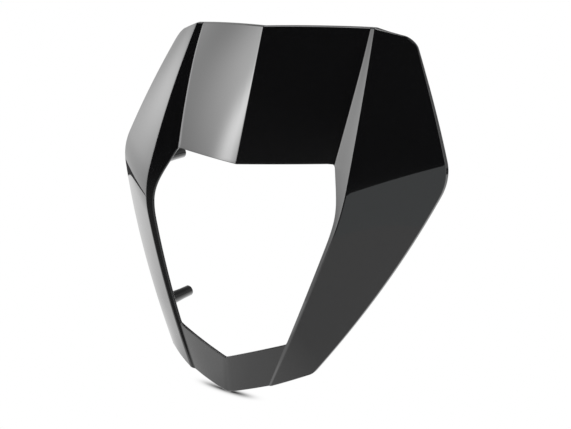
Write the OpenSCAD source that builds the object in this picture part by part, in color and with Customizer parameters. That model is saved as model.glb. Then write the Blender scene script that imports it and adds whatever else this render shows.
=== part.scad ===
// Headlight cowl: one moulded shell with a window for the lamp and four pegs behind it.
// Heights are measured up from the centre between the upper pegs, half widths are measured
// out from the centre plane, and reaches are measured forward from the plane where
// the grommets grip the upper pegs. The front of the cowl faces -Y.

/* [Shell] */
// Wall thickness, front to back
wall = 2.5; // [2:0.25:4]
// Height of the ridge at the top edge
top_z = 101; // [90:1:120]
// Rise of the top edge between the crease and the ridge
top_arch = 1.7; // [0:0.1:4]
// Height of the crease above the ridges at the top edge
crease_rise = 0.5; // [0:0.1:3]
// Bulge of the big faces between their fold lines
face_crown = 1.2; // [0:0.1:3]

/* [Centre panel] */
// Reach of the centre crease at the top edge
crease_top_reach = -1.5; // [-9.5:0.5:7.5]
// Height of the centre crease at the top of the window
crease_low_z = 4.5; // [0:0.5:8]
// Reach of the centre crease at the top of the window
crease_low_reach = 37.5; // [29.5:0.5:45.5]

/* [Ridge] */
// Half width between the ridges at the top edge
ridge_top_x = 78.5; // [70:0.5:90]
// Reach of the ridge at the top edge
ridge_top_reach = -28; // [-36.5:0.5:-16.5]
// Half width between the ridges at their bend
ridge_bend_x = 86.5; // [80:0.5:96]
// Height of the bend in the ridge
ridge_bend_z = -25; // [-35:1:-15]
// Reach of the bend in the ridge
ridge_bend_reach = 37; // [29.5:0.5:45.5]
// Half width between the ridges at the bottom edge
ridge_low_x = 36; // [30:0.5:44]
// Height of the ridge at the bottom edge
ridge_low_z = -157.5; // [-170:0.5:-145]
// Reach of the ridge at the bottom edge
ridge_low_reach = 49; // [41.5:0.5:57.5]
// Outward bow of the ridge, above and below its bend
ridge_bow = 1.8; // [0:0.1:4]
// Forward bow of the ridge, above and below its bend
ridge_swell = 2.6; // [0:0.1:5]
// Half the height over which the ridge bend is rounded
ridge_soft = 18; // [4:1:24]

/* [Wings] */
// Half width at the wing's top corner
wing_top_x = 104.5; // [96:0.5:116]
// Height of the wing's top corner
wing_top_z = 93.5; // [84:0.5:98]
// Reach of the wing's top corner
wing_top_reach = -41; // [-52.5:0.5:-32.5]
// Radius of the wing's top corner, seen from the front
wing_top_r = 13; // [4:0.5:18]
// Half width at the widest point
wing_bend_x = 145.5; // [135:0.5:160]
// Height of the widest point
wing_bend_z = -1.5; // [-12:0.5:10]
// Reach of the widest point
wing_bend_reach = -12.5; // [-24.5:0.5:-4.5]
// Half width at the wing's bottom corner
wing_low_x = 63.5; // [56:0.5:72]
// Height of the wing's bottom corner
wing_low_z = -147; // [-154:0.5:-138]
// Reach of the wing's bottom corner
wing_low_reach = 35; // [23.5:0.5:41.5]
// Radius of the wing's bottom corner, seen from the front
wing_low_r = 1.5; // [0.5:0.5:6]
// Outward bow of the edge above the widest point
wing_bow_high = 2; // [0:0.1:4]
// Outward bow of the edge below the widest point
wing_bow_low = 6.2; // [0:0.1:8]
// Half the height over which the edge is rounded at the widest point
wing_soft = 12; // [4:1:20]

/* [Strip beside the ridge] */
// Width of the strip at the top edge
strip_top_w = 4.2; // [2:0.2:8]
// Width of the strip at the window's top corner
strip_mid_w = 18.6; // [14:0.2:24]
// Width of the strip at the bend
strip_bend_w = 5.8; // [4:0.2:10]
// Width of the strip a little below the bend
strip_slim_w = 4.6; // [3.4:0.2:8]
// Drop from the bend to where the strip has that width
strip_slim_drop = 15; // [8:1:40]
// Width of the strip at the bottom edge
strip_low_w = 2.8; // [2:0.2:6]
// Slope of the strip, degrees back from the front view
strip_angle = 26; // [20:0.5:35]

/* [Window] */
// Height of the window's top corner
window_top_z = 7.5; // [2:0.5:14]
// Height of the window's bottom corner
window_low_z = -123.5; // [-130:0.5:-115]
// Radius of the window's top corner
window_top_r = 3.5; // [0.5:0.5:6]
// Radius of the window's bottom corner
window_low_r = 1.5; // [0.5:0.5:4]
// How far the window's side stands out from the strip's inner fold
window_land = 0.5; // [0.3:0.1:1]

/* [Chin] */
// Height of the chin's crease at the window
chin_top_z = -139.5; // [-145:0.5:-132]
// Reach of the chin's crease at the window
chin_top_reach = 55.5; // [47.5:0.5:63.5]
// Height of the chin's crease at the bottom edge
chin_low_z = -168.5; // [-180:0.5:-160]
// Reach of the chin's crease at the bottom edge
chin_low_reach = 52.5; // [45.5:0.5:59.5]

/* [Pegs] */
// Diameter of the straight end of a peg
peg_d = 9; // [6:0.5:11]
// Length of the straight end of a peg
peg_grip = 11; // [8:0.5:12]
// Chamfer on the tip of a peg
peg_chamfer = 1; // [0.5:0.1:1.5]
// Growth of the peg's radius for each millimetre towards the shell
peg_draft = 0.05; // [0:0.01:0.08]
// Distance between the upper pegs
upper_peg_pitch = 158; // [152:1:164]
// Distance between the lower pegs
lower_peg_pitch = 140; // [132:1:146]
// Drop from the upper pegs to the lower pegs
peg_drop = 113; // [100:1:118]
// Distance from the upper pegs' grip plane back to their tips
upper_peg_tip = 5; // [4:0.5:7]
// Reach of the lower pegs' tips
lower_peg_reach = 2.5; // [0:0.5:8]

/* [Hidden] */

$fn = 64;
// Every fold is sampled at these stations: 0 is the top edge, 1 the bend, 2 the bottom edge.
// The first and last lie past the edges, where the outline trims them off.
window_top_s = (top_z - window_top_z) / (top_z - ridge_bend_z);
window_low_s = 1 + (ridge_bend_z - window_low_z) / (ridge_bend_z - ridge_low_z);
stations = concat(
    [-0.1, 0.08, 0.25, 0.42, 0.58],
    [window_top_s, 0.82, 0.9, 0.97, 1.03, 1.1, 1.18],
    [1.3, 1.45, 1.6, window_low_s, 1.87, 2.1]
);
// Shares of the way across the centre panel and the wing where the sheet has a column.
panel_cols = [0.33, 0.67];
wing_cols = [0.22, 0.45, 0.68, 0.88, 1.2];
// Steps for one rounded corner, and for the outer edge from the top corner to the bottom one.
corner_steps = 8;
edge_steps = 28;
// Steps for the window's side, and steps each way over which a fold's bend is averaged.
side_steps = 16;
bend_steps = 4;
// Where the outer edge takes over from the corner arcs, in radii from the wing's two corners.
edge_after_top = 1.1;
edge_before_low = 2;
// Shares of the way from the crease to the ridge where the top edge has a point.
arch_shares = [0.25, 0.5, 0.75];
// Depth of the solid that the pegs are trimmed by, more than the cowl's own depth.
behind = 160;
// Room by which the cutting prisms pass the shell, front and back.
clear = 100;

function lerp(a, b, t) = a + (b - a) * t;
function bump(t) = 4 * t * (1 - t);

// One fold: three corners given as [half width, reach, height], bowed between them.
function fold_raw(z, top, bend, low, bow_high, bow_low, swell) =
    let (
        up = z > bend.z,
        t = up ? (z - bend.z) / (top.z - bend.z) : (bend.z - z) / (bend.z - low.z),
        p = up ? lerp(bend, top, t) : lerp(bend, low, t),
        bow = up ? bow_high : bow_low
    )
    [p.x + bow * bump(t), p.y + swell * bump(t)];

// The same fold with its bend rounded, by averaging it over a height of soft each way.
function fold(z, soft, top, bend, low, bow_high, bow_low, swell) =
    let (
        shifts = [for (k = [-bend_steps : bend_steps]) soft * k / bend_steps],
        all = [for (h = shifts) fold_raw(z + h, top, bend, low, bow_high, bow_low, swell)],
        mean = [for (p = all) 1] * all / len(all)
    )
    [mean.x, mean.y, z];

ridge_top = [ridge_top_x, ridge_top_reach, top_z];
ridge_bend = [ridge_bend_x, ridge_bend_reach, ridge_bend_z];
ridge_low = [ridge_low_x, ridge_low_reach, ridge_low_z];
wing_top = [wing_top_x, wing_top_reach, wing_top_z];
wing_bend = [wing_bend_x, wing_bend_reach, wing_bend_z];
wing_low = [wing_low_x, wing_low_reach, wing_low_z];

function ridge(z) =
    fold(z, ridge_soft, ridge_top, ridge_bend, ridge_low, ridge_bow, ridge_bow, ridge_swell);
function edge(z) =
    fold(z, wing_soft, wing_top, wing_bend, wing_low, wing_bow_high, wing_bow_low, 0);

// The strip runs from the ridge in and back to the valley, level with the ridge.
strip_table = [
    [ridge_low_z, strip_low_w],
    [ridge_bend_z - strip_slim_drop, strip_slim_w],
    [ridge_bend_z, strip_bend_w],
    [window_top_z, strip_mid_w],
    [top_z, strip_top_w]
];
strip_way = [cos(strip_angle), sin(strip_angle), 0];
function valley(z) = ridge(z) - lookup(z, strip_table) * strip_way;

// Height of a fold at a station, for a fold with these three heights.
function height(s, high, mid, low) = s < 1 ? lerp(high, mid, s) : lerp(mid, low, s - 1);

function crease(s) =
    let (
        high = [0, crease_top_reach, top_z + crease_rise],
        above = [0, crease_low_reach, crease_low_z],
        below = [0, chin_top_reach, chin_top_z],
        low = [0, chin_low_reach, chin_low_z]
    )
    s < window_top_s ? lerp(high, above, s / window_top_s)
    : s < window_low_s
        ? lerp(above, below, (s - window_top_s) / (window_low_s - window_top_s))
        : lerp(below, low, (s - window_low_s) / (2 - window_low_s));

// One row of the sheet, from the centre crease out past the wing's edge.
function half_row(s) =
    let (
        z = height(s, top_z, ridge_bend_z, ridge_low_z),
        c = crease(s),
        v = valley(z),
        r = ridge(z),
        e = edge(height(s, wing_top_z, wing_bend_z, wing_low_z)),
        puff = [0, face_crown, 0]
    )
    concat(
        [c],
        [for (t = panel_cols) lerp(c, v, t) + puff * bump(t)],
        [v, r],
        [for (t = wing_cols) lerp(r, e, t) + puff * max(0, bump(t))]
    );

// The whole row, from one wing to the other, turned into X, Y, Z points.
function row(s) =
    let (half = half_row(s), n = len(half))
    concat(
        [for (i = [n - 1 : -1 : 1]) [-half[i].x, -half[i].y, half[i].z]],
        [for (p = half) [p.x, -p.y, p.z]]
    );

// A sheet with the cowl's front face, moved back by start and as thick as depth.
module sheet(start, depth) {
    rows = [for (s = stations) row(s)];
    m = len(rows[0]);
    n = len(rows);
    front = [for (r = rows, p = r) p + [0, start, 0]];
    back = [for (p = front) p + [0, depth, 0]];
    far = n * m;
    ring = concat(
        [for (j = [0 : m - 1]) j],
        [for (i = [1 : n - 1]) i * m + m - 1],
        [for (j = [m - 2 : -1 : 0]) (n - 1) * m + j],
        [for (i = [n - 2 : -1 : 1]) i * m]
    );
    faces = concat(
        [for (i = [0 : n - 2], j = [0 : m - 2]) each [
            [i * m + j, i * m + j + 1, (i + 1) * m + j + 1],
            [i * m + j, (i + 1) * m + j + 1, (i + 1) * m + j],
            [far + i * m + j, far + (i + 1) * m + j + 1, far + i * m + j + 1],
            [far + i * m + j, far + (i + 1) * m + j, far + (i + 1) * m + j + 1]
        ]],
        [for (k = [0 : len(ring) - 1])
            let (a = ring[k], b = ring[(k + 1) % len(ring)])
            [a, far + a, far + b, b]]
    );
    polyhedron(points = concat(front, back), faces = faces, convexity = 10);
}

// Points of the arc that rounds the corner b of the path a, b, c.
function round_corner(a, b, c, r) =
    let (
        u = (a - b) / norm(a - b),
        v = (c - b) / norm(c - b),
        half = acos(u * v) / 2,
        mid = b + (u + v) / norm(u + v) * r / sin(half),
        from = b + u * r / tan(half) - mid,
        to = b + v * r / tan(half) - mid,
        sweep = 180 - 2 * half
    )
    [for (k = [0 : corner_steps])
        let (t = k / corner_steps)
        mid + (from * sin((1 - t) * sweep) + to * sin(t * sweep)) / sin(sweep)];

// A half outline in the front view and its mirror image, as one closed path.
function mirrored(half) =
    concat(half, [for (i = [len(half) - 1 : -1 : 0]) if (half[i].x > 0) [-half[i].x, half[i].y]]);

function flat(p) = [p.x, p.z];

// Front view of the whole shell.
function outline_half() =
    let (
        crease_top = [0, top_z + crease_rise],
        ridge_high = flat(ridge_top),
        wing_high = flat(wing_top),
        wing_end = flat(wing_low),
        ridge_end = flat(ridge_low),
        arch = [for (t = arch_shares) lerp(crease_top, ridge_high, t) + [0, top_arch * bump(t)]],
        z_from = wing_top_z - edge_after_top * wing_top_r,
        z_to = wing_low_z + edge_before_low * wing_low_r,
        side = [for (k = [0 : edge_steps]) flat(edge(lerp(z_from, z_to, k / edge_steps)))]
    )
    concat(
        [crease_top],
        arch,
        [ridge_high],
        round_corner(ridge_high, wing_high, side[0], wing_top_r),
        side,
        round_corner(side[edge_steps], wing_end, ridge_end, wing_low_r),
        [ridge_end, [0, chin_low_z]]
    );

// Front view of the window for the lamp.
function window_half() =
    let (
        land = [window_land, 0],
        top_mid = [0, crease_low_z],
        low_mid = [0, chin_top_z],
        top_corner = flat(valley(window_top_z)) + land,
        low_corner = flat(valley(window_low_z)) + land,
        share = [for (k = [1 : side_steps - 1]) k / side_steps],
        side = [for (t = share) flat(valley(lerp(window_top_z, window_low_z, t))) + land]
    )
    concat(
        [top_mid],
        round_corner(top_mid, top_corner, side[0], window_top_r),
        side,
        round_corner(side[side_steps - 2], low_corner, low_mid, window_low_r),
        [low_mid]
    );

module prism(half) {
    rotate([90, 0, 0])
        linear_extrude(height = 2 * clear, center = true)
            polygon(mirrored(half));
}

module shell() {
    difference() {
        intersection() {
            sheet(0, wall);
            prism(outline_half());
        }
        prism(window_half());
    }
}

// A peg along Y: its tip at tip_y, a straight end, and a drafted root inside the shell.
module peg(x, tip_y, z) {
    r = peg_d / 2;
    root = clear;
    translate([x, tip_y, z])
        rotate([90, 0, 0])
            rotate_extrude()
                polygon([
                    [0, 0],
                    [r - peg_chamfer, 0],
                    [r, peg_chamfer],
                    [r, peg_grip],
                    [r + peg_draft * (root - peg_grip), root],
                    [0, root]
                ]);
}

module pegs() {
    intersection() {
        sheet(wall / 2, behind);
        union() {
            for (side = [-1, 1]) {
                peg(side * upper_peg_pitch / 2, upper_peg_tip, 0);
                peg(side * lower_peg_pitch / 2, -lower_peg_reach, -peg_drop);
            }
        }
    }
}

module cowl() {
    color([0.02, 0.02, 0.022]) {
        shell();
        pegs();
    }
}

cowl();
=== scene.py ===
# %% [markdown]
# # A moulded headlight cowl
#
# The real cowl is a single shell of gloss black plastic. It has a creased centre panel, a narrow
# strip that steps back at each side of the panel, two swept wings, a chin, and a window for the lamp.
# Four pegs behind it push into rubber grommets. We build it in Blender as one mesh, because the
# real thing comes out of the mould as one piece.
#
# The packed model gives us the exact space that the cowl fills, and we load it first.

import math

import bmesh
import bpy
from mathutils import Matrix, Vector
from mathutils.bvhtree import BVHTree


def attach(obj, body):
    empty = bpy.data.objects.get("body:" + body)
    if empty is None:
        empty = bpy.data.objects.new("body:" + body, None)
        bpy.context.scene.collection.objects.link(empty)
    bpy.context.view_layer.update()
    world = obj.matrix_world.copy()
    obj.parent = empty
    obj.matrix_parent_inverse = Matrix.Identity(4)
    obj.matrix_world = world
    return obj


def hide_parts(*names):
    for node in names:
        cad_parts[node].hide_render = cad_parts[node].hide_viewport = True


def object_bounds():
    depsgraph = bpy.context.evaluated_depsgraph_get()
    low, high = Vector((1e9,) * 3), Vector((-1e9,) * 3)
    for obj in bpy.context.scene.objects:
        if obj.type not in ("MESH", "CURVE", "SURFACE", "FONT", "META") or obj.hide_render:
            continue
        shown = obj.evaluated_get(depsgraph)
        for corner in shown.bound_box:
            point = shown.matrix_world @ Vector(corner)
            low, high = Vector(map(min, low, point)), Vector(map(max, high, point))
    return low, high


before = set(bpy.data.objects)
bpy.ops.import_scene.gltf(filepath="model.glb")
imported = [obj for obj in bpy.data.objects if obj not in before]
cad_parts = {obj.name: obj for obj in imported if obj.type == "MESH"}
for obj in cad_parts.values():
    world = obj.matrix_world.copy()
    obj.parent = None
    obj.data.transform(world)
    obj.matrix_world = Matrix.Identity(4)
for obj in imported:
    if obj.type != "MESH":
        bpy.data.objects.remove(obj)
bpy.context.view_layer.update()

# %% [markdown]
# ## The camera
#
# A gloss surface is all about where it is seen from, so the camera comes before everything else.
# It stands 30 degrees to the right of the cowl's front and a little above, with a 64 mm lens. We
# give the place and the two angles, and Blender's Euler angles follow: a camera points down its
# own -Z, so a tilt of 90 degrees brings it level, and the turn about Z swings it round.

# %% Camera
LENS = 64
SENSOR = 36
CAMERA_PLACE = (0.39794, -0.64982, 0.14392)
CAMERA_TURN = 30.18
CAMERA_DIP = 13.643


def add_camera():
    data = bpy.data.cameras.new("camera")
    data.lens = LENS
    data.sensor_width = SENSOR
    camera = bpy.data.objects.new("camera", data)
    camera.location = CAMERA_PLACE
    camera.rotation_euler = (math.radians(90 - CAMERA_DIP), 0, math.radians(CAMERA_TURN))
    bpy.context.scene.collection.objects.link(camera)
    bpy.context.scene.camera = camera
    return camera


camera = add_camera()
bpy.context.scene.view_settings.view_transform = "Standard"
print("camera stands", round(camera.location.length, 3), "m from the origin")

# %% [markdown]
# ## The fold lines
#
# The whole shape hangs on a few fold lines that run from the top edge to the bottom one: the crease
# on the centre plane, the valley where the panel meets the strip, the ridge where the strip meets
# the wing, and the wing's outer edge. A ridge has a corner at its top, one at its bend and one at
# its foot, and it bows a little between them. We could draw each line as a Bezier curve, but a short
# formula keeps the corner sizes in plain sight. Sizes are in millimetres: half width, reach
# towards the front, and height.

# %% Fold lines
MM = 0.001
BEND_SAMPLES = 12


def lerp(start, end, share):
    return start + (end - start) * share


def bump(share):
    return 4 * share * (1 - share)


class Fold:
    """A fold line with three corners and a bend that is rounded over soft.

    Between the corners it bows. A bow is a pair: how far outwards, and how far forwards.
    """

    def __init__(self, top, bend, low, soft, bow_high, bow_low):
        self.top, self.bend, self.low = Vector(top), Vector(bend), Vector(low)
        self.soft = soft
        self.bow_high = Vector((*bow_high, 0))
        self.bow_low = Vector((*bow_low, 0))

    def sharp(self, z):
        if z > self.bend.z:
            share = (z - self.bend.z) / (self.top.z - self.bend.z)
            return lerp(self.bend, self.top, share) + self.bow_high * bump(share)
        share = (self.bend.z - z) / (self.bend.z - self.low.z)
        return lerp(self.bend, self.low, share) + self.bow_low * bump(share)

    def at(self, z):
        steps = range(-BEND_SAMPLES, BEND_SAMPLES + 1)
        points = [self.sharp(z + self.soft * step / BEND_SAMPLES) for step in steps]
        return sum(points, Vector((0, 0, 0))) / len(points)

    def height(self, station):
        """Height at a station: 0 is the top corner, 1 the bend and 2 the bottom corner."""
        if station < 1:
            return lerp(self.top.z, self.bend.z, station)
        return lerp(self.bend.z, self.low.z, station - 1)


ridge = Fold((78.5, -28.4, 101.7), (86.5, 37, -25), (36, 49, -157.5), 18, (1.8, 2.6), (1.8, 2.6))
edge = Fold((104.2, -41.2, 94.3), (145.5, -12.5, -1.5), (63.5, 35, -147), 12, (2, 0.8), (6.2, 0))
print("ridge at the window", [round(value, 1) for value in ridge.at(0)])

# %% [markdown]
# ## The strip
#
# The strip slopes in and back from the ridge to the valley, everywhere at the same slope. It
# is narrow at the top, widest beside the window's top corner, and narrow again below the bend. Its
# width is read off a short table by height, evened out a little, so the valley needs no corners of
# its own. Right at the window's corner the width keeps its sharp turn.

# %% Strip and valley
WINDOW_TOP_Z = 7.5
WINDOW_LOW_Z = -123.5
STRIP_SLOPE = math.radians(24.5)
STRIP_WIDTHS = [(-157.5, 2.8), (-40, 4.6), (-24, 5.8), (WINDOW_TOP_Z, 18.6), (78, 7.7), (101, 5.2)]
WIDTH_SOFT = 8
STRIP_WAY = Vector((math.cos(STRIP_SLOPE), math.sin(STRIP_SLOPE), 0))


def look_up(z, table):
    """Straight-line reading of a table of (height, value), going on in line past its ends."""
    pairs = list(zip(table, table[1:]))
    (low_z, low), (high_z, high) = next((pair for pair in pairs if z <= pair[1][0]), pairs[-1])
    return lerp(low, high, (z - low_z) / (high_z - low_z))


def strip_width(z):
    soft = min(WIDTH_SOFT, abs(z - WINDOW_TOP_Z))
    steps = range(-BEND_SAMPLES, BEND_SAMPLES + 1)
    widths = [look_up(z + soft * step / BEND_SAMPLES, STRIP_WIDTHS) for step in steps]
    return sum(widths) / len(widths)


def valley(z):
    return ridge.at(z) - strip_width(z) * STRIP_WAY


print("valley at the window", [round(value, 1) for value in valley(WINDOW_TOP_Z)])

# %% [markdown]
# ## The crease
#
# The crease is straight from the top edge to the window. Below the window it comes back as the
# chin's fold, which stands further forward. In between there is nothing but the window, so the line
# simply joins the two.

# %% Crease
CREASE_RISE = 0.5
window_top = (ridge.top.z - WINDOW_TOP_Z) / (ridge.top.z - ridge.bend.z)
window_low = 1 + (ridge.bend.z - WINDOW_LOW_Z) / (ridge.bend.z - ridge.low.z)
# Each corner of the crease: its station and its place.
CREASE = [
    (0, Vector((0, -1.8, ridge.top.z + CREASE_RISE))),
    (window_top, Vector((0, 37.5, 4.5))),
    (window_low, Vector((0, 55.5, -139.5))),
    (2, Vector((0, 52.5, -168.5))),
]


def crease(station):
    for (start, high), (end, low) in zip(CREASE, CREASE[1:]):
        if station <= end:
            break
    return lerp(high, low, (station - start) / (end - start))


print("window from station", round(window_top, 3), "to", round(window_low, 3))

# %% [markdown]
# ## The surface
#
# Every point of the front face has two addresses: a station down the shell, and a column across
# it. Column 0 is the crease, 1 the valley, 2 the ridge and 3 the wing's edge. Between two folds the
# face is nearly flat, with the slight crown that stops a gloss panel from looking hollow. The top
# edge arches a little above the straight line from crease to ridge, and the bottom edge is straight
# from the chin's tip to the ridge, so the stations are nudged near those two edges. The chin's
# crease is a wide soft round, and takes its curve from the surface itself. The wing's two
# outer corners are rounded by the rule that maps a square onto a disc, so that the rows and
# columns of a grid bend round the corner together and never cross.

# %% Surface
CROWN = 1.2
TOP_ARCH = 0.6
CHIN_ROUND = 3
ROW_BLEND = 0.14
BLEND_SAMPLES = 6
# Each corner of the wing: its station, the way inwards, and its size in stations and in columns.
WING_CORNERS = [(0, 1, 0.075, 0.27), (2, -1, 0.012, 0.06)]


def even(function, station):
    """A function of the station, averaged over a short stretch so that its slope has no jump."""
    steps = range(-BLEND_SAMPLES, BLEND_SAMPLES + 1)
    return sum(function(station + ROW_BLEND * step / BLEND_SAMPLES) for step in steps) / len(steps)


def nudge(station, column):
    """The station with the top arch and the straight bottom edge worked in."""
    if station < window_top and column < 1:
        rise = TOP_ARCH * bump(column) * (1 - station / window_top)
        return station - rise / (ridge.top.z - ridge.bend.z)
    if station > window_low and column < 2:
        foot = ridge.low.x - valley(ridge.low.z).x
        drop = foot * (ridge.low.z - CREASE[-1][1].z) / ridge.low.x
        share = (station - window_low) / (2 - window_low)
        return station + share * min(column, 2 - column) * drop / (ridge.bend.z - ridge.low.z)
    return station


def around_corner(station, column):
    """The address moved inwards where it lies in a corner of the wing."""
    for corner, way, down, across in WING_CORNERS:
        u = 1 - (3 - column) / across
        v = 1 - (station - corner) * way / down
        if u > 0 and v > 0:
            column = 3 - across * (1 - u * math.sqrt(1 - v * v / 2))
            station = corner + way * down * (1 - v * math.sqrt(1 - u * u / 2))
            break
    return station, column


def surface(station, column):
    """A point of the front face, in metres, with the front towards -Y."""
    station, column = around_corner(station, column)
    station = nudge(station, column)
    z = even(ridge.height, station)
    if column <= 1:
        point = lerp(crease(station), valley(z), column) + Vector((0, CROWN * bump(column), 0))
        if station > 1:
            slope = (crease(station).y - valley(z).y) / valley(z).x
            point.y -= slope * max(0, CHIN_ROUND - point.x) ** 2 / (2 * CHIN_ROUND)
    elif column <= 2:
        point = lerp(valley(z), ridge.at(z), column - 1)
    else:
        far = edge.at(even(edge.height, station))
        point = lerp(ridge.at(z), far, column - 2) + Vector((0, CROWN * bump(column - 2), 0))
    return Vector((point.x, -point.y, point.z)) * MM


print("widest point", [round(value / MM, 1) for value in surface(1, 3)])

# %% [markdown]
# ## Half of the sheet
#
# A flat grid has the right pattern of faces already: rows for the stations and columns for the
# folds. So we create one with the grid operator and move each vertex to its place on the surface. A
# subdivided cage would round the folds off, and cutting the outline out of a big sheet would
# leave ragged faces that show in a gloss finish. A grid keeps every row in line. The columns lie
# closer together where the chin's crease is rounded.

# %% Grid on the surface
STATION_STRETCHES = [
    (0, 0.09, 12), (0.09, window_top, 34), (window_top, window_low, 60),
    (window_low, 1.97, 14), (1.97, 2, 6)]
COLUMN_STRETCHES = [(0, 0.1, 4), (0.1, 1, 13), (1, 2, 2), (2, 2.7, 14), (2.7, 3, 10)]


def ladder(stretches):
    """Evenly spaced values over each stretch, without repeats."""
    values = [stretches[0][0]]
    for start, end, steps in stretches:
        values += [lerp(start, end, (step + 1) / steps) for step in range(steps)]
    return values


def half_sheet():
    stations = ladder(STATION_STRETCHES)
    columns = ladder(COLUMN_STRETCHES)
    across, down = len(columns) - 1, len(stations) - 1
    mesh = bmesh.new()
    bmesh.ops.create_grid(mesh, x_segments=across, y_segments=down, size=1)
    for vert in mesh.verts:
        column = columns[round((vert.co.x + 1) / 2 * across)]
        station = stations[round((1 - vert.co.y) / 2 * down)]
        vert.co = surface(station, column)
    return mesh


cowl_mesh = half_sheet()
print("half sheet has", len(cowl_mesh.faces), "faces")

# %% [markdown]
# ## Both halves
#
# The cowl is the same on both sides, so the other half is a mirror image. The mirror operator joins
# the halves along the centre plane when it is given a merge distance.

# %% Mirror
MERGE = 0.02 * MM


def mirror_halves(mesh):
    everything = mesh.verts[:] + mesh.edges[:] + mesh.faces[:]
    bmesh.ops.mirror(mesh, geom=everything, axis="X", merge_dist=MERGE)
    bmesh.ops.remove_doubles(mesh, verts=mesh.verts[:], dist=MERGE)
    bmesh.ops.recalc_face_normals(mesh, faces=mesh.faces[:])


mirror_halves(cowl_mesh)
print("whole sheet has", len(cowl_mesh.faces), "faces")

# %% [markdown]
# ## Rounded folds
#
# No moulded fold is knife sharp, and the thin bright lines along the ridges come from their small
# radius. The bevel operator rounds a row of edges at a time. The valley has a wider fillet above
# the window than below it, so the lines are picked out by a test on where their middle lies.
# Beside the window the valley is the opening's edge, and is left alone.

# %% Round the folds
NEAR_FOLD = 0.3
# The chin's crease, below this height, has its round already.
CHIN_TOP = (WINDOW_LOW_Z + 6) * MM


def on_fold(middle, line):
    """Is this point on a fold line, given as a function of height?"""
    fold_point = line(middle.z / MM)
    beside = abs(abs(middle.x) / MM - fold_point.x) < NEAR_FOLD
    return beside and abs(-middle.y / MM - fold_point.y) < NEAR_FOLD


def round_fold(mesh, wanted, width, steps):
    lines = []
    for line in mesh.edges:
        middle = (line.verts[0].co + line.verts[1].co) / 2
        if len(line.link_faces) == 2 and wanted(middle):
            lines.append(line)
    bmesh.ops.bevel(
        mesh,
        geom=lines,
        offset=width * MM,
        offset_type="OFFSET",
        segments=steps,
        profile=0.5,
        affect="EDGES",
        clamp_overlap=False,
        material=-1,
    )
    return len(lines)


# Each fold: its name, the test for its lines, the width of its round and the round's steps.
FOLDS = [
    ("ridge", lambda middle: on_fold(middle, ridge.at), 0.7, 3),
    ("valley above", lambda middle: middle.z > WINDOW_TOP_Z * MM and on_fold(middle, valley), 0.9, 4),
    ("valley below", lambda middle: middle.z < WINDOW_LOW_Z * MM and on_fold(middle, valley), 0.3, 2),
    ("crease", lambda middle: middle.z > CHIN_TOP and abs(middle.x) < MERGE, 0.5, 3),
]
for name, wanted, width, steps in FOLDS:
    print(name, round_fold(cowl_mesh, wanted, width, steps), "edges")
outline = {vert for vert in cowl_mesh.verts if vert.is_boundary}

# %% [markdown]
# ## The window
#
# The grid has rows exactly along the window's top and bottom edges and a fold down its sides, so
# the window is made by deleting the faces inside it.

# %% Open the window


def in_window(point):
    half, z = abs(point.x) / MM, point.z / MM
    top, low = valley(WINDOW_TOP_Z).x, valley(WINDOW_LOW_Z).x
    under = z < lerp(CREASE[1][1].z, WINDOW_TOP_Z, half / top)
    over = z > lerp(CREASE[2][1].z, WINDOW_LOW_Z, half / low)
    return under and over and half < valley(z).x


def open_window(mesh):
    inside = [face for face in mesh.faces if in_window(face.calc_center_median())]
    bmesh.ops.delete(mesh, geom=inside, context="FACES")
    return len(inside)


print("window faces", open_window(cowl_mesh))

# %% [markdown]
# ## Rounded corners of the window
#
# The window's corners are rounded too. A border vertex near such a corner slides into the
# window, onto a curve that starts and ends on the two edges. The rest of the grid stays.

# %% Round the corners
def border_verts(mesh):
    return [vert for vert in mesh.verts if vert.is_boundary]


def round_corner(mesh, corner, reach):
    """Slide the border vertices within reach of a corner onto a smooth curve."""
    near = [vert for vert in border_verts(mesh) if (vert.co - corner).length < reach]
    tip = min(near, key=lambda vert: (vert.co - corner).length)
    sides = []
    for start in [line.other_vert(tip) for line in tip.link_edges if line.is_boundary]:
        chain, before = [start], tip
        while (chain[-1].co - corner).length < reach:
            onward = [line.other_vert(chain[-1]) for line in chain[-1].link_edges if line.is_boundary]
            following = next(vert for vert in onward if vert is not before)
            before = chain[-1]
            chain.append(following)
        sides.append(chain)
    ends = [corner + (chain[-1].co - corner).normalized() * reach for chain in sides]
    moves = {tip: (ends[0] + 2 * corner + ends[1]) / 4}
    for chain, here, there in zip(sides, ends, reversed(ends)):
        for vert in chain[:-1]:
            share = (1 - (vert.co - corner).length / reach) / 2
            curve = here * (1 - share) ** 2 + corner * 2 * share * (1 - share) + there * share ** 2
            moves[vert] = curve
    for vert, place in moves.items():
        vert.co = place
    return len(moves)


def mirrored(point):
    return [point, Vector((-point.x, point.y, point.z))]


# Each corner: its name, its place, and how far its round reaches along the two edges.
CORNERS = [
    ("window top", surface(window_top, 1), 3.2),
    ("window foot", surface(window_low, 1), 1.8),
]
for name, corner, reach in CORNERS:
    for place in mirrored(corner):
        print(name, "moved", round_corner(cowl_mesh, place, reach * MM))

# %% [markdown]
# ## Wall thickness
#
# A mould opens straight, so the wall is 2.5 mm measured front to back. Extruding the faces while
# keeping the originals gives a second sheet with walls along the border. The operator turns the
# originals round and leaves the copy as it was, so the sheet must face the back first. All along
# the outline, but not around the window, the wall turns back further, as a stiff edge: most of all
# beside the widest point and below it. Along the top it also rises a little towards the back.

# %% Thicken
WALL = 2.5
# How much further the outline's wall turns back, and how much it rises, by height.
RETURNS = [(-170, 2.4), (-20, 2.4), (5, 2.8), (70, 0.7), (97, 0.7), (100, 1.6), (103, 1.6)]
RISES = [(0, 0), (99.5, 0), (102, 0.45), (103, 0.45)]


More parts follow.
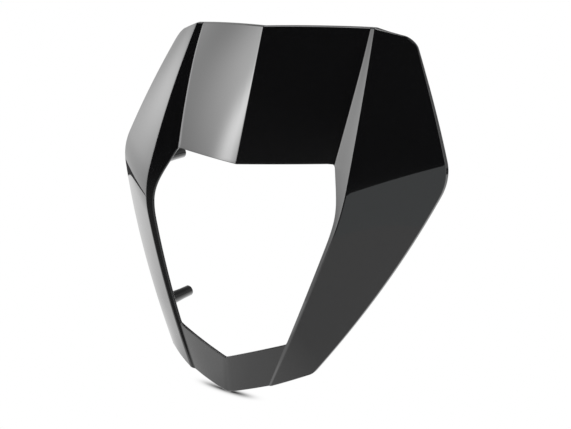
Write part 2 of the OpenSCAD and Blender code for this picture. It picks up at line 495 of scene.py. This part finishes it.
def thicken(mesh, outline):
    """Give the sheet its thickness, and return the walls along its border."""
    bmesh.ops.recalc_face_normals(mesh, faces=mesh.faces[:])
    if sum(face.normal.y for face in mesh.faces) < 0:
        bmesh.ops.reverse_faces(mesh, faces=mesh.faces[:])
    everything = mesh.verts[:] + mesh.edges[:] + mesh.faces[:]
    sheet = set(mesh.faces)
    made = bmesh.ops.extrude_face_region(mesh, geom=everything, use_keep_orig=True)["geom"]
    sheet.update(part for part in made if isinstance(part, bmesh.types.BMFace))
    moved = {part for part in made if isinstance(part, bmesh.types.BMVert)}
    bmesh.ops.translate(mesh, verts=list(moved), vec=(0, WALL * MM, 0))
    walls = [face for face in mesh.faces if face not in sheet]
    turned = {vert for face in walls if outline.intersection(face.verts) for vert in face.verts}
    for vert in turned & moved:
        z = vert.co.z / MM
        vert.co += Vector((0, look_up(z, RETURNS), look_up(z, RISES))) * MM
    return walls


walls = thicken(cowl_mesh, outline)
print("open edges", sum(line.is_boundary for line in cowl_mesh.edges))
print("shell volume", round(cowl_mesh.calc_volume(signed=True) * 1e6, 1), "cubic centimetres")

# %% [markdown]
# ## Rounded rim
#
# The rim is where a moulding catches the light: in the finished picture it is the thin bright line
# around the dark wings. The edges to round are the ones between a wall and a face, and one bevel
# rounds them all.

# %% Round the rim
RIM_ROUND = 0.6
RIM_STEPS = 3


def round_rim(mesh, walls):
    walls = set(walls)
    lines = [line for line in mesh.edges if len(walls.intersection(line.link_faces)) == 1]
    bmesh.ops.bevel(
        mesh,
        geom=lines,
        offset=RIM_ROUND * MM,
        offset_type="OFFSET",
        segments=RIM_STEPS,
        profile=0.5,
        affect="EDGES",
        clamp_overlap=False,
        material=-1,
    )
    return len(lines)


print("rim edges", round_rim(cowl_mesh, walls))

# %% [markdown]
# ## Pegs
#
# Each peg is a plain round stud that points straight back, with a small chamfer at its tip and a
# little draft, so that it comes out of the mould. Where it meets the slanted shell it spreads in a
# fillet, and that needs to know how far back the shell's inner face is at each point. We could cut
# the peg with the shell, but a BVH tree answers the question with a ray, and the rings of the
# fillet can then be laid on the face one by one.

# %% Ask the shell
# The rays start this far behind the cowl, in metres.
BEHIND = 0.3
# The share of the way to the centre by which a point that misses the shell moves inwards.
SEAT_STEP = 0.04


def inner_face(shell, x, z):
    """The point of the shell's inner face straight behind a point of the front view, or None."""
    place, normal, index, distance = shell.ray_cast(Vector((x, BEHIND, z)), Vector((0, -1, 0)))
    return place


def seat_on(shell, centre, flat):
    """The inner face under flat, or as near to it as the shell reaches on the way to centre."""
    seat = inner_face(shell, flat.x, flat.z)
    while seat is None:
        flat = lerp(flat, centre, SEAT_STEP)
        seat = inner_face(shell, flat.x, flat.z)
    return seat


inner = BVHTree.FromBMesh(cowl_mesh)
beside_window = inner_face(inner, 79 * MM, 0)
print("inner face beside the window", [round(value / MM, 1) for value in beside_window])

# %% [markdown]
# ## Growing a peg
#
# We start from the tip's circle and extrude its edge ring by ring: the chamfer, the straight grip
# that the grommet holds, the drafted shank and the quarter round of the fillet. The last ring lies
# inside the wall, so that nothing shows where the two meet, and the loop is filled there.

# %% Pegs
PEG_RADIUS = 4.5
PEG_CHAMFER = 1
PEG_GRIP = 11
PEG_DRAFT = 0.05
PEG_SIDES = 48
PEG_FILLET = 1.6
FILLET_STEPS = 5
# The fillet ends this far inside the wall, so that no gap opens between them.
FILLET_SINK = 0.02
UPPER_PEGS = {"half": 79, "tip": 5, "z": 0}
LOWER_PEGS = {"half": 70, "tip": -2.5, "z": -113}


def add_peg(mesh, shell, x, tip, z):
    first_verts = set(mesh.verts)
    centre = Vector((x, 0, z)) * MM
    made = bmesh.ops.create_circle(mesh, cap_ends=True, radius=1, segments=PEG_SIDES)
    ring = made["verts"]
    lines = list({line for vert in ring for line in vert.link_edges})
    outward = {vert: Vector((vert.co.x, 0, vert.co.y)) for vert in ring}

    def level(verts, radius, y):
        for vert in verts:
            vert.co = centre + outward[vert] * radius * MM + Vector((0, y * MM, 0))

    def seated(verts, radius, lift):
        for vert in verts:
            vert.co = seat_on(shell, centre, centre + outward[vert] * radius * MM)
            vert.co.y += lift * MM

    def next_ring():
        nonlocal ring, lines
        grown = bmesh.ops.extrude_edge_only(mesh, edges=lines)["geom"]
        new_verts = [part for part in grown if isinstance(part, bmesh.types.BMVert)]
        for vert in new_verts:
            old = min(ring, key=lambda other: (other.co - vert.co).length)
            outward[vert] = outward[old]
        ring = new_verts
        lines = [part for part in grown if isinstance(part, bmesh.types.BMEdge)
                 and all(vert in new_verts for vert in part.verts)]

    level(ring, PEG_RADIUS - PEG_CHAMFER, tip)
    next_ring()
    level(ring, PEG_RADIUS, tip - PEG_CHAMFER)
    next_ring()
    level(ring, PEG_RADIUS, tip - PEG_GRIP)
    root = inner_face(shell, centre.x, centre.z).y / MM
    foot = PEG_RADIUS + PEG_DRAFT * max(0, tip - PEG_GRIP - root - PEG_FILLET)
    for step in range(FILLET_STEPS + 1):
        turn = math.radians(90 * step / FILLET_STEPS)
        radius = foot + PEG_FILLET * (1 - math.cos(turn))
        lift = PEG_FILLET * (1 - math.sin(turn)) - FILLET_SINK
        next_ring()
        seated(ring, radius, lift)
    next_ring()
    seated(ring, radius, -WALL / 2)
    bmesh.ops.edgeloop_fill(mesh, edges=lines)
    faces = [face for face in mesh.faces if face.verts[0] not in first_verts]
    bmesh.ops.recalc_face_normals(mesh, faces=faces)
    return root


for pegs in (UPPER_PEGS, LOWER_PEGS):
    for side in (-1, 1):
        root = add_peg(cowl_mesh, inner, side * pegs["half"], pegs["tip"], pegs["z"])
        print("peg length", round(pegs["tip"] - root, 1), "mm")

# %% [markdown]
# ## The finished mesh
#
# Smooth shading averages the normals around a vertex, which would smear the flat faces next to each
# fold. The Weighted Normal modifier lets the big faces win, so the flats stay flat and only the
# narrow bevels turn the light.

# %% Make the object
def finish_piece(mesh, name):
    data = bpy.data.meshes.new(name)
    mesh.to_mesh(data)
    mesh.free()
    data.polygons.foreach_set("use_smooth", [True] * len(data.polygons))
    piece = bpy.data.objects.new(name, data)
    bpy.context.scene.collection.objects.link(piece)
    normals = piece.modifiers.new("flat faces win", "WEIGHTED_NORMAL")
    normals.mode = "FACE_AREA"
    normals.weight = 50
    return piece


cowl = finish_piece(cowl_mesh, "cowl_shell")
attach(cowl, "root")
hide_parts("cowl")
print("cowl has", len(cowl.data.polygons), "faces")

# %% [markdown]
# ## Shader sums
#
# Node materials are easier to read as sums. A Wire is one output of a node, and the usual signs
# between Wires and numbers add the Math nodes for us.

# %% Sums of sockets
class Wire:
    """One output socket that can be used in a sum."""

    def __init__(self, board, socket):
        self.board, self.socket = board, socket

    def sum(self, operation, first, second):
        settings = {"operation": operation}
        return self.board.node("ShaderNodeMath", settings, {0: first, 1: second})

    def __add__(self, other):
        return self.sum("ADD", self, other)

    def __mul__(self, other):
        return self.sum("MULTIPLY", self, other)

    def __sub__(self, other):
        return self.sum("SUBTRACT", self, other)

    def __rsub__(self, other):
        return self.sum("SUBTRACT", other, self)

    def __pow__(self, other):
        return self.sum("POWER", self, other)

    def __rpow__(self, other):
        return self.sum("POWER", other, self)

    def __gt__(self, other):
        return self.sum("GREATER_THAN", self, other)

    __radd__ = __add__
    __rmul__ = __mul__


print("signs with a number first", [name for name in vars(Wire) if name.startswith("__r")])

# %% [markdown]
# ## The board of nodes
#
# Every other node comes from one method that takes its type, its settings and its inputs. The
# settings come first, because they can change which sockets a node has. A Board is the node tree of
# one material or of the world, and it starts empty, with nothing but the output.

# %% Board of nodes
class Board:
    """The node tree of a material or of the world."""

    def __init__(self, owner, output_kind):
        owner.use_nodes = True
        self.tree = owner.node_tree
        self.tree.nodes.clear()
        self.output = self.tree.nodes.new(output_kind)

    def node(self, kind, settings=None, inputs=None, output=0):
        made = self.tree.nodes.new(kind)
        for name, value in (settings or {}).items():
            if name == "stops":
                self.set_stops(made.color_ramp, value)
            else:
                setattr(made, name, value)
        for name, value in (inputs or {}).items():
            if isinstance(value, Wire):
                self.tree.links.new(value.socket, made.inputs[name])
            else:
                made.inputs[name].default_value = value
        return Wire(self, made.outputs[output])

    def set_stops(self, ramp, stops):
        while len(ramp.elements) < len(stops):
            ramp.elements.new(0.5)
        for element, (position, value) in zip(ramp.elements, stops):
            element.position = position
            element.color = (value, value, value, 1)

    def show(self, shader):
        self.tree.links.new(shader.socket, self.output.inputs["Surface"])


print("board helpers", [name for name in vars(Board) if not name.startswith("_")])

# %% [markdown]
# ## Gloss black plastic
#
# A polished black moulding shows almost nothing of its own colour. What we see is the room, mirrored
# in a very smooth skin. The Principled shader gets a near-black base and a clear coat for that
# skin. A mould leaves the face very slightly wavy, which a faint large noise gives through a
# Bump node, and handling leaves it a little less glossy here and there.

# %% Material of the shell
BLACK = (0.0055, 0.0055, 0.006, 1)
PLASTIC_IOR = 1.5
COAT_ROUGHNESS = 0.02
# The handled places: how fine they are, and the roughness between and on them.
HAZE_SCALE = 22
SMOOTH = 0.03
HANDLED = 0.03
WAVE_SCALE = 30
WAVE_STRENGTH = 0.03


def gloss_black():
    material = bpy.data.materials.new("gloss_black_plastic")
    board = Board(material, "ShaderNodeOutputMaterial")
    place = board.node("ShaderNodeTexCoord", output="Object")
    haze = board.node("ShaderNodeTexNoise", inputs={
        "Vector": place, "Scale": HAZE_SCALE, "Detail": 3})
    roughness = SMOOTH + HANDLED * haze
    wave = board.node("ShaderNodeTexNoise", inputs={
        "Vector": place, "Scale": WAVE_SCALE, "Detail": 1})
    skin = board.node("ShaderNodeBump", inputs={
        "Height": wave, "Strength": WAVE_STRENGTH, "Distance": MM})
    plastic = board.node("ShaderNodeBsdfPrincipled", inputs={
        "Base Color": BLACK,
        "Roughness": roughness,
        "IOR": PLASTIC_IOR,
        "Coat Weight": 1.0,
        "Coat Roughness": COAT_ROUGHNESS,
        "Coat IOR": PLASTIC_IOR,
        "Normal": skin,
    })
    board.show(plastic)
    return material


cowl.data.materials.append(gloss_black())
print("shell finish", cowl.data.materials[0].name)

# %% [markdown]
# ## The studio
#
# A black gloss object shows its surroundings more than itself, so the studio is built like the real
# one: a pale table, a soft light close by at the left, a white bounce card at the right, and
# darkness in front and above. The camera is to see only white around the cowl. Everything in the
# studio is a flat sheet, so one helper makes them all. Sizes in the studio are in metres.

# %% Flat pieces
FLOOR_SIZE = 30


def flat_piece(name, size_x, size_y):
    mesh = bmesh.new()
    bmesh.ops.create_grid(mesh, x_segments=1, y_segments=1, size=0.5)
    bmesh.ops.scale(mesh, vec=(size_x, size_y, 1), verts=mesh.verts)
    data = bpy.data.meshes.new(name)
    mesh.to_mesh(data)
    mesh.free()
    piece = bpy.data.objects.new(name, data)
    bpy.context.scene.collection.objects.link(piece)
    return piece


floor_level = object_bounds()[0][2]
floor = flat_piece("floor", FLOOR_SIZE, FLOOR_SIZE)
floor.location.z = floor_level
print("floor at", round(floor_level, 4))

# %% [markdown]
# ## The table in the reflections
#
# The lower wings and the chin mirror the table. It is brighter on the side of the light, and a
# color ramp over x gives that. Its edge runs off slantwise at the left, where a comparison of x
# with y is enough.

# %% Mirrored table
# The table's brightness over x, which changes within this reach of the middle.
TABLE_REACH = 0.2
TABLE_STOPS = [(-0.2, 0.87), (-0.12, 1.1), (-0.03, 1.1), (0.01, 0.85), (0.05, 0.78), (0.1, 0.55)]
# The table ends where x is less than EDGE_SLANT times y minus EDGE_AWAY.
EDGE_SLANT = 1.5
EDGE_AWAY = 1.257
# The share of its brightness that the floor keeps beyond that edge.
BEYOND = 0.07
# A ramp holds no value above 1, so the brightness goes in divided by this and comes out times it.
RAMP_TOP = 2


def table_glow(board, x, y):
    span = 2 * TABLE_REACH
    stops = [((place + TABLE_REACH) / span, value / RAMP_TOP) for place, value in TABLE_STOPS]
    across = board.node("ShaderNodeMapRange", inputs={
        "Value": x, "From Min": -TABLE_REACH, "From Max": TABLE_REACH, "To Min": 0, "To Max": 1})
    profile = board.node("ShaderNodeValToRGB", {"stops": stops}, {"Fac": across})
    table = BEYOND + (1 - BEYOND) * (x - EDGE_SLANT * y > -EDGE_AWAY)
    return RAMP_TOP * profile * table


print("table ends at x", -EDGE_AWAY, "where y is 0")

# %% [markdown]
# ## The floor
#
# To the camera the floor is plain white, with a painted contact shadow: it is darker in a narrow
# streak where the cowl is close to it. An Ambient Occlusion node measures the closeness. On its own
# it would shade a wide patch under the leaning chin, and the soft light of a real studio fills all
# but the line of contact, so a second factor, a painted streak, keeps the shadow narrow. In
# reflections the floor is the table, and the lamp falls on plain chalk. The Light Path node tells
# the three apart.

# %% Floor
# How near the cowl counts as close, and the power that makes the painted contact shadow darker.
CONTACT_REACH = 0.035
CONTACT_DEPTH = 3.5
CONTACT_SAMPLES = 16
# The painted shadow's streak: its middle, its turn and bend, and its half lengths along and across.
STREAK_PLACE = (-0.004, -0.0495)
STREAK_TURN = math.radians(-7.9)
STREAK_BEND = 2.26
STREAK_HALF = (0.0225, 0.0031)
CHALK = (0.85, 0.85, 0.85, 1)


def painted_shadow_streak(board, x, y):
    """The painted shadow's mask: one on its middle line, a half at its half lengths, and soon nothing
    beyond.
    """
    aside, ahead = x - STREAK_PLACE[0], y - STREAK_PLACE[1]
    along = aside * math.cos(STREAK_TURN) + ahead * math.sin(STREAK_TURN)
    across = ahead * math.cos(STREAK_TURN) - aside * math.sin(STREAK_TURN) - STREAK_BEND * along * along
    long_share = along * (1 / STREAK_HALF[0])
    wide_share = across * (1 / STREAK_HALF[1])
    return 0.5 ** (long_share * long_share * long_share * long_share + wide_share * wide_share)


def floor_finish():
    material = bpy.data.materials.new("pale_floor")
    board = Board(material, "ShaderNodeOutputMaterial")
    camera_ray = board.node("ShaderNodeLightPath", output="Is Camera Ray")
    glossy_ray = board.node("ShaderNodeLightPath", output="Is Glossy Ray")
    contact = board.node("ShaderNodeAmbientOcclusion", {"samples": CONTACT_SAMPLES}, {
        "Distance": CONTACT_REACH}, output="AO")
    place = board.node("ShaderNodeTexCoord", output="Object")
    x = board.node("ShaderNodeSeparateXYZ", inputs={"Vector": place}, output="X")
    y = board.node("ShaderNodeSeparateXYZ", inputs={"Vector": place}, output="Y")
    # Painted contact shadow: closeness from the AO node, kept only inside the painted streak.
    painted_shadow = (1 - contact ** CONTACT_DEPTH) * painted_shadow_streak(board, x, y)
    seen = board.node("ShaderNodeEmission", inputs={"Strength": 1 - painted_shadow})
    mirrored_table = board.node("ShaderNodeEmission", inputs={"Strength": table_glow(board, x, y)})
    chalk = board.node("ShaderNodeBsdfDiffuse", inputs={"Color": CHALK})
    lit = board.node("ShaderNodeMixShader", inputs={0: glossy_ray, 1: chalk, 2: mirrored_table})
    board.show(board.node("ShaderNodeMixShader", inputs={0: camera_ray, 1: lit, 2: seen}))
    return material


floor.data.materials.append(floor_finish())
print("floor finish", floor.data.materials[0].name)

# %% [markdown]
# ## Cards that glow
#
# To a mirror, the soft light and the bounce card are the same thing: an upright sheet that glows on
# one side. The camera never sees them. Each stands on a line on the table, given from end to end,
# and glows to the right of that line. The Backfacing output of the Geometry node tells the sides
# apart.

# %% Cards
WHITE = (1, 1, 1, 1)


def upright_card(name, line, low, high):
    """A card that stands on a line, given by its two ends, and faces to the right of that line."""
    start, end = Vector(line[0]), Vector(line[1])
    way = end - start
    middle = (start + end) / 2
    card = flat_piece(name, way.length, high - low)
    card.rotation_euler = (math.radians(90), 0, math.atan2(way.y, way.x))
    card.location = (middle.x, middle.y, (low + high) / 2)
    card.visible_camera = False
    card.visible_shadow = False
    return card


def glowing_front(board, strength, colour=WHITE):
    bright = board.node("ShaderNodeEmission", inputs={"Color": colour, "Strength": strength})
    dark = board.node("ShaderNodeEmission", inputs={"Strength": 0.0})
    back = board.node("ShaderNodeNewGeometry", output="Backfacing")
    board.show(board.node("ShaderNodeMixShader", inputs={0: back, 1: bright, 2: dark}))


def even_finish(name, strength, colour=WHITE):
    material = bpy.data.materials.new(name)
    glowing_front(Board(material, "ShaderNodeOutputMaterial"), strength, colour)
    return material


print("card helpers", [helper.__name__ for helper in (upright_card, glowing_front, even_finish)])

# %% [markdown]
# ## The soft light
#
# The soft light has a hot spot low down towards the front, a broad one above it and a third one
# further back, each of which fades out round about. It stops well above the table, and the thin
# black line across the left wing is the gap between the two. Its front half has a skirt that
# closes the gap.

# %% Soft light
SOFT_LINE = ((-0.6, -0.36), (-0.6, 0.6))
SOFT_LOW = -0.105
SOFT_HIGH = 0.6
SKIRT_LINE = ((-0.6, -0.36), (-0.6, 0.0))
SKIRT_GLOW = 1.15
SOFT_BASE = 0.71
# Each glow: its place along and up, the distances at which it is half as bright, and its strength.
SOFT_GLOWS = [
    ((-0.295, 0.262), (0.033, 0.122), 3.26),
    ((-0.264, 0.45), (0.144, 0.243), 3.31),
    ((0.086, 0.191), (0.095, 0.124), 1.29),
]


def glow(along, up, place, half, strength):
    """A glow that is half as bright at the distances half from its place."""
    aside = (along - place[0]) * (1 / half[0])
    above = (up - place[1]) * (1 / half[1])
    return strength * 0.5 ** (aside * aside + above * above)


def soft_finish(card):
    material = bpy.data.materials.new("soft_light")
    board = Board(material, "ShaderNodeOutputMaterial")
    place = board.node("ShaderNodeTexCoord", output="Object")
    along = board.node("ShaderNodeSeparateXYZ", inputs={"Vector": place}, output="X") + card.location.y
    up = board.node("ShaderNodeSeparateXYZ", inputs={"Vector": place}, output="Y") + card.location.z
    strength = SOFT_BASE
    for spot, half, power in SOFT_GLOWS:
        strength = strength + glow(along, up, spot, half, power)
    glowing_front(board, strength)
    return material


soft_light = upright_card("soft_light", SOFT_LINE, SOFT_LOW, SOFT_HIGH)
soft_light.data.materials.append(soft_finish(soft_light))
light_skirt = upright_card("light_skirt", SKIRT_LINE, floor_level, SOFT_LOW)
light_skirt.data.materials.append(even_finish("light_skirt", SKIRT_GLOW))
print("soft light", [round(value, 2) for value in soft_light.dimensions])

# %% [markdown]
# ## The other cards
#
# The bounce card at the right is evenly lit and a touch cool. In the right wing it takes over from
# the table, and the line across that wing is its upper edge. The side card stands further off and
# lights the rim on the right.

# %% Bounce card and side card
BOUNCE_LINE = ((0.526, 0.128), (0.286, -0.530))
BOUNCE_HIGH = 0.2125
BOUNCE_GLOW = 0.55
COOL = (0.95, 0.99, 1, 1)
SIDE_LINE = ((0.8, 0.55), (0.8, -0.05))
SIDE_LOW = 0.0
SIDE_HIGH = 0.7
SIDE_GLOW = 1.0

bounce_card = upright_card("bounce_card", BOUNCE_LINE, floor_level, BOUNCE_HIGH)
bounce_card.data.materials.append(even_finish("bounce_card", BOUNCE_GLOW, COOL))
side_card = upright_card("side_card", SIDE_LINE, SIDE_LOW, SIDE_HIGH)
side_card.data.materials.append(even_finish("side_card", SIDE_GLOW))
print("bounce card", [round(value, 2) for value in bounce_card.dimensions])

# %% [markdown]
# ## The lamp above and the world
#
# A large area lamp overhead lights the floor and the top edges at a plain level. The world is white
# to the camera. To everything else it is black above, a little less so towards the horizon,
# and pale behind, like a white sweep with a dark studio around it.

# %% Lamp and world
LAMP_HEIGHT = 1.7
LAMP_SIZE = 1.3
LAMP_POWER = 18
# The world's strength high up, at the horizon, and what the sweep behind adds.
DARK = 0.02
HORIZON = 0.16
SWEEP = 0.1
# Where these change over: between two values of a direction's upward and backward part.
UP_SPAN = (0.25, 0.6)
BACK_SPAN = (0.35, 0.6)


def add_lamp():
    data = bpy.data.lights.new("lamp_above", "AREA")
    data.shape = "SQUARE"
    data.size = LAMP_SIZE
    data.energy = LAMP_POWER
    lamp = bpy.data.objects.new("lamp_above", data)
    lamp.location = (0, 0, LAMP_HEIGHT)
    bpy.context.scene.collection.objects.link(lamp)
    return lamp


def add_world():
    world = bpy.data.worlds.new("studio")
    bpy.context.scene.world = world
    board = Board(world, "ShaderNodeOutputWorld")
    camera_ray = board.node("ShaderNodeLightPath", output="Is Camera Ray")
    towards = board.node("ShaderNodeTexCoord", output="Generated")
    back = board.node("ShaderNodeSeparateXYZ", inputs={"Vector": towards}, output="Y")
    up = board.node("ShaderNodeSeparateXYZ", inputs={"Vector": towards}, output="Z")
    haze = board.node("ShaderNodeMapRange", {"interpolation_type": "SMOOTHSTEP"}, {
        "Value": up, "From Min": UP_SPAN[0], "From Max": UP_SPAN[1],
        "To Min": HORIZON, "To Max": DARK})
    behind = board.node("ShaderNodeMapRange", inputs={
        "Value": back, "From Min": BACK_SPAN[0], "From Max": BACK_SPAN[1],
        "To Min": 0, "To Max": SWEEP})
    white = board.node("ShaderNodeBackground", inputs={"Color": WHITE, "Strength": 1.0})
    room = board.node("ShaderNodeBackground", inputs={"Color": WHITE, "Strength": haze + behind})
    board.show(board.node("ShaderNodeMixShader", inputs={0: camera_ray, 1: room, 2: white}))


add_lamp()
add_world()
print("lamp power", LAMP_POWER, "W")

# %% [markdown]
# ## The end
#
# The mesh must fill the same space as the packed model.
